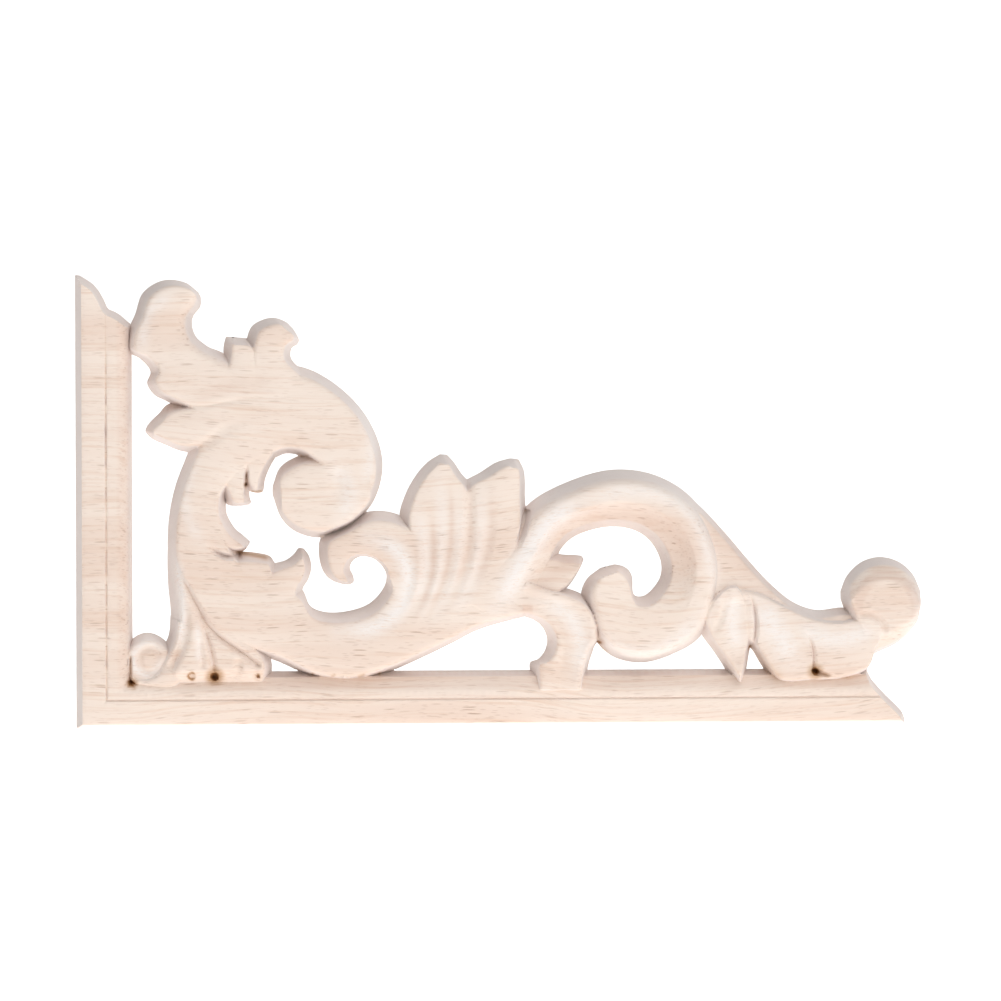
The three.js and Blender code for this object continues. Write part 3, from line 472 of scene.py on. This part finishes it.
find_crossings(True)
find_crossings(False)
crossings = np.array(crossings)
edge_places = crossings[:, :2]
edge_links = [tuple(found) for found in crossing_cells.values() if len(found) == 2]

# The line of each V cut, as points and links
cut_places, cut_links = [], []
for cut in CUTS:
    line = spline(cut["path"], 8)
    cut["line"] = line
    total = np.concatenate([[0], np.cumsum(np.linalg.norm(np.diff(line, axis=0), axis=1))])
    at = np.linspace(0, total[-1], max(2, int(total[-1] / CUT_STEP)))
    line = np.stack([np.interp(at, total, line[:, 0]), np.interp(at, total, line[:, 1])], 1)
    if cut["power"] == 1:
        start = len(cut_places)
        cut_places.extend(line.tolist())
        cut_links.extend((start + i, start + i + 1) for i in range(len(line) - 1))
cut_places = np.array(cut_places)
_, cut_label = surface(cut_places[:, 0], cut_places[:, 1])

# Net points beside an edge point or a point of a cut are left out
special = np.vstack([edge_places, cut_places[cut_label > 0]])
crowded = np.zeros(net_x.shape, bool)
column = np.rint((special[:, 0] - xs[0]) / CELL).astype(int)
line_row = np.rint((special[:, 1] - zs[0]) / CELL).astype(int)
inside = (column >= 0) & (column < len(xs)) & (line_row >= 0) & (line_row < len(zs))
near = inside.copy()
near[inside] = np.hypot(special[inside, 0] - xs[column[inside]],
                        special[inside, 1] - zs[line_row[inside]]) < CELL * CROWD
crowded[line_row[near], column[near]] = True

# The plain strips of the mouldings need few points
plain = net_label >= UPRIGHT_STRIP
wanted = (net_height > 0) & ~crowded
sparse = plain.copy()
for shift in ((0, 1), (0, -1), (1, 0), (-1, 0)):
    sparse &= np.roll(plain, shift, (0, 1))
rows, cols = np.indices(net_x.shape)
upright = net_x < net_z
along, across = PLAIN_STEP
keep = np.where(upright, (rows % along == 0) & (cols % across == 0),
                (cols % along == 0) & (rows % across == 0))
wanted &= ~sparse | keep
net_places = np.stack([net_x[wanted], net_z[wanted]], 1)

places = np.vstack([edge_places, cut_places, net_places])
links = edge_links + [(a + len(edge_places), b + len(edge_places)) for a, b in cut_links]
made, _, triangles, origins, _, _ = delaunay_2d_cdt(
    [Vector(p) for p in places.tolist()], links, [], 0, 1e-4, True)
made = np.array([tuple(p) for p in made])
on_outline = np.array([
    any(o < len(crossings) and crossings[o, 2] for o in origin) for origin in origins])
triangles = np.array(triangles)

# Triangles over a hole or beyond the outline are dropped
centre = made[triangles].mean(axis=1)
_, centre_label = surface(centre[:, 0], centre[:, 1])
triangles = triangles[centre_label > 0]
used, triangles = np.unique(triangles, return_inverse=True)
triangles = triangles.reshape(-1, 3)
made, on_outline = made[used], on_outline[used]
heights, zone_label = surface(made[:, 0], made[:, 1])


def carve(x, z, height):
    """Takes the V cuts, flutes and drilled pits out of a height."""
    for cut in CUTS:
        line = cut["line"]
        reach = cut["half"]
        box = ((x > line[:, 0].min() - reach) & (x < line[:, 0].max() + reach)
               & (z > line[:, 1].min() - reach) & (z < line[:, 1].max() + reach))
        d, share = distance_to(line, x[box], z[box])
        sink, lift = cut["ease"]
        depth = cut["depth"] * smooth(share, 0, sink) * smooth(1 - share, 0, lift)
        floor = depth * np.maximum(0, 1 - d / reach) if cut["power"] == 1 else (
            depth * (1 - smooth(d, 0, reach)))
        height[box] -= floor
    for px, pz, radius, depth, _ in PITS:
        d = np.hypot(x - px, z - pz)
        height -= depth * (1 - smooth(d, radius * 0.35, radius * 1.05))
    return height


heights = carve(made[:, 0], made[:, 1], heights)
heights = np.where(on_outline, 0, np.maximum(heights, 0.4))

# Outline edges belong to one triangle only. The flat back is filled between them.
edges = {}
for a, b, c in triangles.tolist():
    for edge in ((a, b), (b, c), (c, a)):
        edges[edge] = edges.get(edge, 0) + 1
rim = [edge for edge in edges if (edge[1], edge[0]) not in edges]
rim_points = sorted({i for edge in rim for i in edge})
heights[rim_points] = 0
number_of = {point: i for i, point in enumerate(rim_points)}
flat, _, back, back_origins, _, _ = delaunay_2d_cdt(
    [Vector(p) for p in made[rim_points].tolist()],
    [(number_of[a], number_of[b]) for a, b in rim], [], 0, 1e-6, True)
back = np.array(back)
centre = np.array([tuple(p) for p in flat])[back].mean(axis=1)
_, centre_label = surface(centre[:, 0], centre[:, 1])
back = back[centre_label > 0]
back_point = np.array([rim_points[o[0]] for o in back_origins])

vertices = np.stack([
    board_low.x + made[:, 0] * MM, board_high.y - heights * MM, board_low.z + made[:, 1] * MM], 1)
faces = triangles.tolist() + [(a, c, b) for a, b, c in back_point[back].tolist()]

onlay_mesh = bpy.data.meshes.new("corner_onlay_carved")
onlay_mesh.from_pydata(vertices.tolist(), [], faces)
onlay_mesh.validate()
onlay = bpy.data.objects.new("corner_onlay_carved", onlay_mesh)
bpy.context.scene.collection.objects.link(onlay)
onlay_mesh.polygons.foreach_set("use_smooth", [True] * len(onlay_mesh.polygons))
onlay_mesh.set_sharp_from_angle(angle=math.radians(42))
print("onlay", len(faces), "triangles", len(vertices), "points")

# How the wood of each point looks: burnt by the cutter and the drill, lighter where a highlight is painted
# on ridges and sides that face the light, and darker where shade is painted in hollows, cuts and on slopes
# that face away from it. These are strokes along the forms: half width in mm, amount, and points on the
# board.
BURNT = [
    (0.35, 0.35, [(30.6, 41.9), (33, 41.9)]), (0.3, 0.28, [(29.8, 42), (29.9, 45.6)]),
    (0.35, 0.18, [(38.8, 48.3), (42, 47.5)]), (0.4, 0.3, [(27.4, 31.3), (31, 30.7), (34.6, 30)]),
    (0.4, 0.07, [(14, 56.2), (19.6, 57.4)]), (0.35, 0.26, [(9.6, 8.6), (9.5, 13.4)]),
    (0.9, 0.12, [(40, 9.6), (47, 9.6), (56.5, 9.8)]),
    (0.4, 0.26, [(41.4, 9.4), (41.7, 10.2)]), (0.5, 0.24, [(44.6, 9.3), (45.6, 9.9)]),
    (0.5, 0.28, [(49.2, 9.3), (50.9, 9.8)]), (0.4, 0.26, [(53.2, 9.3), (53.5, 10.2)]),
    (0.3, 0.42, [(21.0, 9.6), (20.3, 10.25), (19.6, 9.6), (20.3, 8.95), (21.0, 9.5)]),
    (0.7, 0.13, [(111.4, 15.9), (116.8, 8.9)]),
    (1.2, 0.2, [(119.4, 13.6), (121.8, 10.6), (125, 8.0)]), (0.6, 0.26, [(130.4, 9.7), (133.2, 9.1)]),
    (0.3, 0.22, [(134.6, 8.7), (138.8, 8.7)]), (0.5, 0.2, [(91.4, 18), (92.3, 14.6), (94.4, 12.8)]),
    (0.5, 0.16, [(42.6, 33.2), (42.3, 31), (43.2, 28)]), (0.9, 0.13, [(22, 8.6), (27, 8.7)]),
    (0.5, 0.12, [(22.6, 14), (23.9, 10)]), (0.4, 0.12, [(78, 39), (77.4, 35.6)]),
]
# Painted highlight on ridges, on the crests of bands and flutes, and on sides that face the light
HIGHLIGHT_STROKES = [
    (1.6, 0.9, [(51, 34), (56.3, 31.6), (58.3, 27), (57, 21.8), (52.5, 18.3), (46, 17.6)]),
    (1.3, 0.5, [(60, 38.5), (61.2, 32), (60.9, 27), (58.8, 21)]),
    (1.3, 0.45, [(63.8, 44), (64.3, 36), (63.6, 28), (60.8, 20.5)]),
    (1.4, 0.4, [(67, 41), (67.3, 34), (66.2, 27), (63, 20)]),
    (1.5, 0.4, [(71, 42), (71, 34), (69.4, 27), (66.4, 20.5)]),
    (2.0, 0.95, [(74, 21.5), (76, 25), (79.4, 31.5), (83.6, 37), (89, 40.3)]),
    (1.4, 0.6, [(89, 40.3), (96.4, 42), (103.6, 41), (108.6, 37.2), (111.5, 30), (112.9, 23)]),
    (1.5, 0.7, [(116, 23.5), (115.6, 19), (116.4, 14)]),
    (2.4, 0.8, [(120.5, 22), (123.4, 17), (126.4, 12)]),
    (1.8, 0.7, [(127, 17.6), (134, 15.6), (141, 17.4)]),
    (1.2, 0.6, [(146.6, 14.6), (148.8, 20), (147, 26)]),
    (0.9, 0.9, [(17.2, 31), (18.2, 26), (18.5, 20), (18.3, 15)]),
    (0.6, 0.6, [(21.2, 19), (21.6, 12)]),
    (0.8, 0.7, [(16, 13), (12.6, 9.7), (9.8, 12), (12, 15.6), (15.4, 14.4)]),
    (1.6, 0.7, [(81.6, 23), (86.5, 20), (88.8, 15), (88, 9.5)]),
    (1.8, 0.6, [(90.4, 17), (95, 13.8), (101, 13.2), (106, 15.6), (110, 20)]),
    (1.2, 0.5, [(49.5, 58), (52, 51), (50.5, 43)]), (1.2, 0.4, [(22, 33), (19, 40), (21, 48)]),
    (1.2, 0.5, [(11.6, 67), (12.6, 73), (17, 77)]), (1.8, 0.5, [(45, 47), (48, 42), (46.5, 37)]),
]
# Painted shade in the cove, on the thorn leaf, along the tail's upper side, in flutes, cuts and creases
SHADE_STROKES = [
    (2.2, 0.5, [(86, 32.6), (92, 37), (98, 37.6), (104, 35.5), (107.6, 31), (107.4, 26)]),
    (1.7, 0.5, [(79, 23.6), (84, 27), (88, 31)]),
    (2.0, 0.5, [(111.5, 36.6), (115.8, 31), (121, 25.8), (127, 22.4)]),
    (0.8, 1.0, [(78.2, 21.2), (80.4, 21.3)]), (0.5, 0.5, [(62.4, 38), (62.8, 32), (62.2, 26), (59.6, 20)]),
    (0.5, 0.5, [(65.6, 43), (65.9, 36), (64.9, 28), (62, 20.4)]),
    (0.5, 0.4, [(69, 42), (69, 33), (66.5, 25)]),
    (0.8, 0.35, [(73, 42), (72.8, 34), (70.5, 26)]), (1.3, 0.4, [(20, 58), (27, 60.5), (35, 61.5)]),
    (0.7, 0.6, [(14, 56), (19, 57.4)]), (0.5, 0.9, [(27.4, 31.3), (31, 30.7), (34.4, 30)]),
    (0.7, 0.5, [(132.5, 20.6), (139, 21.2)]), (1.0, 0.4, [(130, 9.4), (138, 9.4)]),
]
HALO = 0.48  # how burnt the wood round a pit is, as a share of the pit, and how many radii it reaches
HALO_REACH = 3.2
# Painted shade along the groove of the mouldings, in the tone of a burn: stronger on the upright one
GROOVE_SHADE_UPRIGHT = 0.14
GROOVE_SHADE_LYING = 0.05
# Painted shade on the up-facing inner bevels of the mouldings:
BEVEL_SHADE = 0.3  # on the inner bevels of the mouldings, from this far in
BEVEL_SHADE_START = 7.4
# Painted shade in a ring on the rounded slope of the ball on the tail:
BALL_MIDDLE = (142.9, 20.9)  # of the ball on the tail, with the reach of its ring in x and z
BALL_REACH = (7.0, 8.2)
BALL_RING_SHADE = 0.6


def strokes(marks):
    """Amount at each point of the mesh: strongest on the strokes, fading off beside them."""
    total = np.zeros(len(made))
    for half, amount, path in marks:
        d, along = distance_to(spline(path, 6), made[:, 0], made[:, 1])
        ends = 0.35 + 0.65 * smooth(along, 0, 0.2) * smooth(1 - along, 0, 0.2)
        total = np.maximum(total, amount * ends * np.exp(-(d / half) ** 2))
    return total


burn_and_groove_shade = strokes(BURNT)
for x, z, radius, _, amount in PITS:
    d = np.hypot(made[:, 0] - x, made[:, 1] - z)
    burn_and_groove_shade = np.maximum(burn_and_groove_shade, amount * (1 - smooth(d, radius * 0.55, radius * 1.25)))
    burn_and_groove_shade = np.maximum(burn_and_groove_shade, HALO * amount * (1 - smooth(d, radius, radius * HALO_REACH)))
across = np.minimum(made[:, 0], made[:, 1])
on_moulding = (zone_label >= UPRIGHT_STRIP) & (zone_label < SAWN_END)
on_groove = (np.abs(across - GROOVE_MIDDLE) < 0.2) & on_moulding
on_upright = made[:, 0] < made[:, 1]
# Painted shade in the groove, added to the real burns
burn_and_groove_shade[on_groove & on_upright] = GROOVE_SHADE_UPRIGHT
burn_and_groove_shade[on_groove & ~on_upright] = GROOVE_SHADE_LYING
painted_shade = strokes(SHADE_STROKES)
# Painted shade in a ring on the sloping side of the ball, on its upper part only
shaded_ring = np.hypot((made[:, 0] - BALL_MIDDLE[0]) / BALL_REACH[0],
                (made[:, 1] - BALL_MIDDLE[1]) / BALL_REACH[1])
shaded_ring = smooth(shaded_ring, 0.56, 0.66) * (1 - smooth(shaded_ring, 0.8, 0.92)) * smooth(made[:, 1], 17, 22)
painted_shade = np.maximum(painted_shade, BALL_RING_SHADE * shaded_ring)
# Painted shade on the inner bevels, which face up
bevel = on_moulding & (across > BEVEL_SHADE_START)
painted_shade[bevel] = np.maximum(painted_shade[bevel], BEVEL_SHADE)
for key, values in (("burn_and_groove_shade", burn_and_groove_shade), ("pale", strokes(HIGHLIGHT_STROKES)), ("painted_shade", painted_shade)):
    layer = onlay_mesh.attributes.new(key, "FLOAT", "POINT")
    layer.data.foreach_set("value", values.astype(np.float32))


# Raw rubberwood, machine-carved and brushed: matt, cream to pink in bands along the grain, which
# runs the long way of the board, with short dark pores. Cut across the grain it is greyer and rough;
# painted highlights are almost white, broken up like lifted fibres, and painted shade is pink-tan.
# Pores of 0.2 mm are drawn 0.25 mm wide, so that they show.

def linear(code):
    """Linear colour, with alpha 1, of an sRGB hex value."""
    parts = [int(code[i:i + 2], 16) / 255 for i in (1, 3, 5)]
    return [c / 12.92 if c <= 0.04045 else ((c + 0.055) / 1.055) ** 2.4 for c in parts] + [1.0]


def add_node(tree, kind, settings=None, **inputs):
    """Adds a node, sets its properties, and links or sets its inputs by name or by number."""
    node = tree.nodes.new(kind)
    for key, value in (settings or {}).items():
        setattr(node, key, value)
    for key, value in inputs.items():
        socket = node.inputs[int(key[1:])] if key[0] == "i" and key[1:].isdigit() else (
            node.inputs[key.replace("_", " ")])
        if isinstance(value, bpy.types.NodeSocket):
            tree.links.new(value, socket)
        else:
            socket.default_value = value
    return node


rubberwood = bpy.data.materials.new("raw_rubberwood_machine_carved")
rubberwood.use_nodes = True
tree = rubberwood.node_tree
tree.nodes.clear()
place = add_node(tree, "ShaderNodeTexCoord").outputs["Object"]
in_mm = add_node(tree, "ShaderNodeVectorMath", {"operation": "SCALE"}, i0=place, Scale=1000.0).outputs[0]

# The grain wanders a few millimetres up and down along the board
slow = add_node(tree, "ShaderNodeVectorMath", {"operation": "MULTIPLY"},
                i0=in_mm, i1=(0.016, 0.03, 0.03)).outputs[0]
wander = add_node(tree, "ShaderNodeTexNoise", Vector=slow, Scale=1.0, Detail=1.5).outputs["Fac"]
grain = add_node(tree, "ShaderNodeVectorMath", {"operation": "MULTIPLY_ADD"},
                 i0=wander, i1=(0.0, 4.0, 13.0), i2=in_mm).outputs[0]


def stretched(length, depth, height):
    """Place in the grain, in cells of a size in mm: along the board, into it and up it."""
    return add_node(tree, "ShaderNodeVectorMath", {"operation": "MULTIPLY"},
                    i0=grain, i1=(1 / length, 1 / depth, 1 / height)).outputs[0]


# Growth bands 5 to 10 mm wide, streaks 1 mm wide, and the fibres that the cutter lifts
bands = add_node(tree, "ShaderNodeTexNoise", Vector=stretched(70, 9, 6), Scale=1.0, Detail=2.0,
                 Roughness=0.55).outputs["Fac"]
streaks = add_node(tree, "ShaderNodeTexNoise", Vector=stretched(18, 1.4, 0.6), Scale=1.0, Detail=4.0,
                   Roughness=0.62).outputs["Fac"]
fibres = add_node(tree, "ShaderNodeTexNoise", Vector=stretched(1.5, 0.3, 0.24), Scale=1.0, Detail=3.0,
                  Roughness=0.7).outputs["Fac"]

# Pores: the near places of stretched cells, about 3 mm long and 0.25 mm thick, and shorter ones
long_cells = add_node(tree, "ShaderNodeTexVoronoi", Vector=stretched(5, 0.8, 0.42), Scale=1.0)
long_near = add_node(tree, "ShaderNodeMapRange", {"interpolation_type": "SMOOTHSTEP"},
                     Value=long_cells.outputs["Distance"], From_Min=0.14, From_Max=0.32,
                     To_Min=1.0, To_Max=0.0).outputs["Result"]
long_chance = add_node(tree, "ShaderNodeSeparateColor", Color=long_cells.outputs["Color"])
long_share = add_node(tree, "ShaderNodeMapRange", Value=long_chance.outputs[0], From_Min=0.25,
                      From_Max=1.0, To_Min=0.0, To_Max=1.0).outputs["Result"]
long_pores = add_node(tree, "ShaderNodeMath", {"operation": "MULTIPLY"}, i0=long_near, i1=long_share)
short_cells = add_node(tree, "ShaderNodeTexVoronoi", Vector=stretched(2.4, 0.5, 0.3), Scale=1.0)
short_near = add_node(tree, "ShaderNodeMapRange", {"interpolation_type": "SMOOTHSTEP"},
                      Value=short_cells.outputs["Distance"], From_Min=0.12, From_Max=0.3,
                      To_Min=0.42, To_Max=0.0).outputs["Result"]
all_pores = add_node(tree, "ShaderNodeMath", {"operation": "MAXIMUM"}, i0=long_pores.outputs[0],
                     i1=short_near)
porous = add_node(tree, "ShaderNodeMapRange", Value=bands, From_Min=0.35, From_Max=0.6,
                  To_Min=0.45, To_Max=1.0).outputs["Result"]
pores = add_node(tree, "ShaderNodeMath", {"operation": "MULTIPLY"}, i0=all_pores.outputs[0],
                 i1=porous).outputs[0]

# Colour, from the sound wood to the burns, the painted highlight and the painted shade on it
band_share = add_node(tree, "ShaderNodeMapRange", {"interpolation_type": "SMOOTHSTEP"}, Value=bands,
                      From_Min=0.38, From_Max=0.64).outputs["Result"]
sound = add_node(tree, "ShaderNodeMix", {"data_type": "RGBA"}, Factor=band_share,
                 i6=linear("#f1e2d6"), i7=linear("#ebd7c9")).outputs[2]
streak_share = add_node(tree, "ShaderNodeMapRange", Value=streaks, From_Min=0.5, From_Max=0.78,
                        To_Min=0.0, To_Max=0.75).outputs["Result"]
streaked = add_node(tree, "ShaderNodeMix", {"data_type": "RGBA"}, Factor=streak_share,
                    i6=sound, i7=linear("#dfc1ab")).outputs[2]
pore_share = add_node(tree, "ShaderNodeMath", {"operation": "MULTIPLY"}, i0=pores, i1=0.54).outputs[0]
with_pores = add_node(tree, "ShaderNodeMix", {"data_type": "RGBA"}, Factor=pore_share,
                      i6=streaked, i7=linear("#a3785c")).outputs[2]

# The sawn walls are greyer: how far a face turns from the front or the back
turned = add_node(tree, "ShaderNodeSeparateXYZ", Vector=add_node(
    tree, "ShaderNodeNewGeometry").outputs["Normal"]).outputs["Y"]
flatness = add_node(tree, "ShaderNodeMath", {"operation": "ABSOLUTE"}, i0=turned).outputs[0]
wall_share = add_node(tree, "ShaderNodeMapRange", {"interpolation_type": "SMOOTHSTEP"}, Value=flatness,
                      From_Min=0.25, From_Max=0.8, To_Min=0.8, To_Max=0.0).outputs["Result"]
with_walls = add_node(tree, "ShaderNodeMix", {"data_type": "RGBA"}, Factor=wall_share,
                      i6=with_pores, i7=linear("#e9dfdb")).outputs[2]

# The flat back carries none of the marks of the carving
on_front = add_node(tree, "ShaderNodeMath", {"operation": "LESS_THAN"}, i0=turned, i1=0.5).outputs[0]


def mark(name):
    """One of the marks that the mesh carries, on the front only."""
    amount = add_node(tree, "ShaderNodeAttribute", {"attribute_name": name}).outputs["Fac"]
    return add_node(tree, "ShaderNodeMath", {"operation": "MULTIPLY"}, i0=amount, i1=on_front).outputs[0]


# Painted highlight, almost white, broken up like lifted fibres
highlight_mark = mark("pale")
fibre_pattern = add_node(tree, "ShaderNodeMapRange", {"interpolation_type": "SMOOTHSTEP"}, Value=fibres,
                  From_Min=0.26, From_Max=0.52).outputs["Result"]
highlight_share = add_node(tree, "ShaderNodeMath", {"operation": "MULTIPLY"}, i0=highlight_mark, i1=fibre_pattern).outputs[0]
with_highlight = add_node(tree, "ShaderNodeMix", {"data_type": "RGBA"}, Factor=highlight_share,
                     i6=with_walls, i7=linear("#f6f0ec")).outputs[2]
# Painted shade, broken by the streaks of the grain, in a deeper pink-tan
painted_shade_mark = mark("painted_shade")
painted_shade_streaks = add_node(tree, "ShaderNodeMapRange", Value=streaks, From_Min=0.3, From_Max=0.65,
                        To_Min=0.35, To_Max=0.9).outputs["Result"]
painted_shade_share = add_node(tree, "ShaderNodeMath", {"operation": "MULTIPLY"}, i0=painted_shade_mark,
                      i1=painted_shade_streaks).outputs[0]
with_painted_shade = add_node(tree, "ShaderNodeMix", {"data_type": "RGBA"}, Factor=painted_shade_share,
                     i6=with_highlight, i7=linear("#dcbfae")).outputs[2]
# Burns by the cutter and the drill, and the painted shade in the groove of the mouldings
burn_and_groove_shade_mark = mark("burn_and_groove_shade")
burnt_edge = add_node(tree, "ShaderNodeMath", {"operation": "MULTIPLY_ADD"}, i0=fibres, i1=0.7,
                      i2=-0.35).outputs[0]
burn_and_groove_shade_share = add_node(tree, "ShaderNodeMath", {"operation": "MULTIPLY_ADD"}, i0=burn_and_groove_shade_mark,
                       i1=burnt_edge, i2=burn_and_groove_shade_mark).outputs[0]
scorch = add_node(tree, "ShaderNodeValToRGB", Fac=burn_and_groove_shade_share)
scorch.color_ramp.elements[0].color = linear("#d9b184")
scorch.color_ramp.elements[1].color = linear("#54371f")
scorch.color_ramp.elements.new(0.5).color = linear("#94683f")
scorch_share = add_node(tree, "ShaderNodeMapRange", {"interpolation_type": "SMOOTHSTEP"},
                        Value=burn_and_groove_shade_share, From_Min=0.03, From_Max=0.45).outputs["Result"]
colour = add_node(tree, "ShaderNodeMix", {"data_type": "RGBA"}, Factor=scorch_share,
                  i6=with_painted_shade, i7=scorch.outputs["Color"]).outputs[2]

# Relief in mm: sunken pores, raised fibres and the brush's fine lines
# The fibres stand higher under the painted highlight
fibre_height = add_node(tree, "ShaderNodeMath", {"operation": "MULTIPLY_ADD"}, i0=highlight_mark, i1=0.09,
                        i2=0.03).outputs[0]
raised = add_node(tree, "ShaderNodeMath", {"operation": "MULTIPLY"}, i0=fibres, i1=fibre_height).outputs[0]
lines = add_node(tree, "ShaderNodeMath", {"operation": "MULTIPLY_ADD"}, i0=streaks, i1=0.07,
                 i2=raised).outputs[0]
relief = add_node(tree, "ShaderNodeMath", {"operation": "MULTIPLY_ADD"}, i0=pores, i1=-0.08,
                  i2=lines).outputs[0]
bump = add_node(tree, "ShaderNodeBump", Strength=0.8, Distance=0.001, Height=relief).outputs["Normal"]
roughness = add_node(tree, "ShaderNodeMapRange", Value=fibres, From_Min=0.3, From_Max=0.7,
                     To_Min=0.68, To_Max=0.84).outputs["Result"]
wood = add_node(tree, "ShaderNodeBsdfPrincipled", Base_Color=colour, Roughness=roughness, Normal=bump)
wood.inputs["IOR"].default_value = 1.4
add_node(tree, "ShaderNodeOutputMaterial", Surface=wood.outputs["BSDF"])
onlay_mesh.materials.append(rubberwood)

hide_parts("corner_onlay")
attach(onlay, "root")


# The stage: a floor of pale, matt paper that sweeps up behind the onlay. It glows with a light of its own,
# as if lit from behind, so that it shows white, and glows less on the left, which keeps the walls that face
# left darker.

STAGE_HALF_WIDTH = 3  # metres, like the others here
STAGE_FRONT = -2.5
STAGE_TOP = 2.6
SWEEP_START = 1.5  # where the floor begins to curve up
SWEEP_RADIUS = 0.6
SWEEP_STEPS = 24
centre_x = (board_low.x + board_high.x) / 2
centre_z = (board_low.z + board_high.z) / 2
floor_level = board_low.z
sweep = []
for k in range(SWEEP_STEPS + 1):
    angle = math.radians(90 * k / SWEEP_STEPS)
    sweep.append((SWEEP_START + SWEEP_RADIUS * math.sin(angle),
                  SWEEP_RADIUS - SWEEP_RADIUS * math.cos(angle)))
section = [(STAGE_FRONT, 0)] + sweep + [(SWEEP_START + SWEEP_RADIUS, STAGE_TOP)]
stage_vertices, stage_faces = [], []
for y, z in section:
    stage_vertices += [(centre_x - STAGE_HALF_WIDTH, y, floor_level + z),
                       (centre_x + STAGE_HALF_WIDTH, y, floor_level + z)]
for k in range(len(section) - 1):
    stage_faces.append((2 * k, 2 * k + 1, 2 * k + 3, 2 * k + 2))
stage_mesh = bpy.data.meshes.new("pale_floor")
stage_mesh.from_pydata(stage_vertices, [], stage_faces)
stage_mesh.polygons.foreach_set("use_smooth", [True] * len(stage_mesh.polygons))
floor = bpy.data.objects.new("pale_floor", stage_mesh)
bpy.context.scene.collection.objects.link(floor)
glowing_paper = bpy.data.materials.new("glowing_pale_paper")
glowing_paper.use_nodes = True
paper_shader = glowing_paper.node_tree.nodes["Principled BSDF"]
paper_shader.inputs["Base Color"].default_value = linear("#f7f5f3")
paper_shader.inputs["Roughness"].default_value = 0.9
# The paper glows with a light of its own, less on the left
paper_shader.inputs["Emission Color"].default_value = linear("#ffffff")
sideways = add_node(glowing_paper.node_tree, "ShaderNodeSeparateXYZ", Vector=add_node(
    glowing_paper.node_tree, "ShaderNodeTexCoord").outputs["Object"]).outputs["X"]
glow = add_node(glowing_paper.node_tree, "ShaderNodeMapRange", Value=sideways, From_Min=-1.0, From_Max=-0.15,
                To_Min=0.36, To_Max=0.76).outputs["Result"]
glowing_paper.node_tree.links.new(glow, paper_shader.inputs["Emission Strength"])
stage_mesh.materials.append(glowing_paper)


# The light: a white room, brighter on the right and above, a soft lamp on the right and a
# larger one above.

world = bpy.data.worlds.new("white_room")
bpy.context.scene.world = world
world.use_nodes = True
background = world.node_tree.nodes["Background"]
background.inputs["Color"].default_value = linear("#ffffff")
towards = add_node(world.node_tree, "ShaderNodeSeparateXYZ", Vector=add_node(
    world.node_tree, "ShaderNodeTexCoord").outputs["Generated"])
to_the_right = add_node(world.node_tree, "ShaderNodeMath", {"operation": "MULTIPLY_ADD"},
                        i0=towards.outputs["X"], i1=0.13, i2=0.187).outputs[0]
upwards = add_node(world.node_tree, "ShaderNodeMath", {"operation": "MULTIPLY_ADD"},
                   i0=towards.outputs["Z"], i1=0.1, i2=to_the_right).outputs[0]
world.node_tree.links.new(upwards, background.inputs["Strength"])
bpy.context.scene.view_settings.view_transform = "Standard"


def softbox(name, position, target, size, power):
    """Square lamp with a side in metres and a power in watts, turned to its target."""
    lamp = bpy.data.lights.new(name, "AREA")
    lamp.shape = "SQUARE"
    lamp.size = size
    lamp.energy = power
    item = bpy.data.objects.new(name, lamp)
    item.location = position
    item.rotation_euler = (Vector(target) - Vector(position)).to_track_quat("-Z", "Y").to_euler()
    bpy.context.scene.collection.objects.link(item)


middle = (centre_x, 0, centre_z)
softbox("key_light", (centre_x + 0.55, -0.75, centre_z + 0.25), middle, 0.5, 1.25)
softbox("top_light", (centre_x + 0.1, -0.5, centre_z + 1.0), middle, 1.0, 5.3)


# The camera: in front of the face, a little above and to the left of its middle.

TILT = math.radians(3)
TO_THE_LEFT = math.radians(3.7)
DISTANCE = 1.1
SHOWN_WIDTH = 0.177  # metres across the frame at the onlay
camera_data = bpy.data.cameras.new("camera")
camera_data.sensor_width = 36
camera_data.sensor_fit = "AUTO"
camera_data.lens = 36 * DISTANCE / SHOWN_WIDTH
camera = bpy.data.objects.new("camera", camera_data)
camera.location = (centre_x - DISTANCE * math.cos(TILT) * math.sin(TO_THE_LEFT),
                   -DISTANCE * math.cos(TILT) * math.cos(TO_THE_LEFT),
                   centre_z + DISTANCE * math.sin(TILT))
camera.rotation_euler = (math.pi / 2 - TILT, 0, -TO_THE_LEFT)
bpy.context.scene.collection.objects.link(camera)
bpy.context.scene.camera = camera
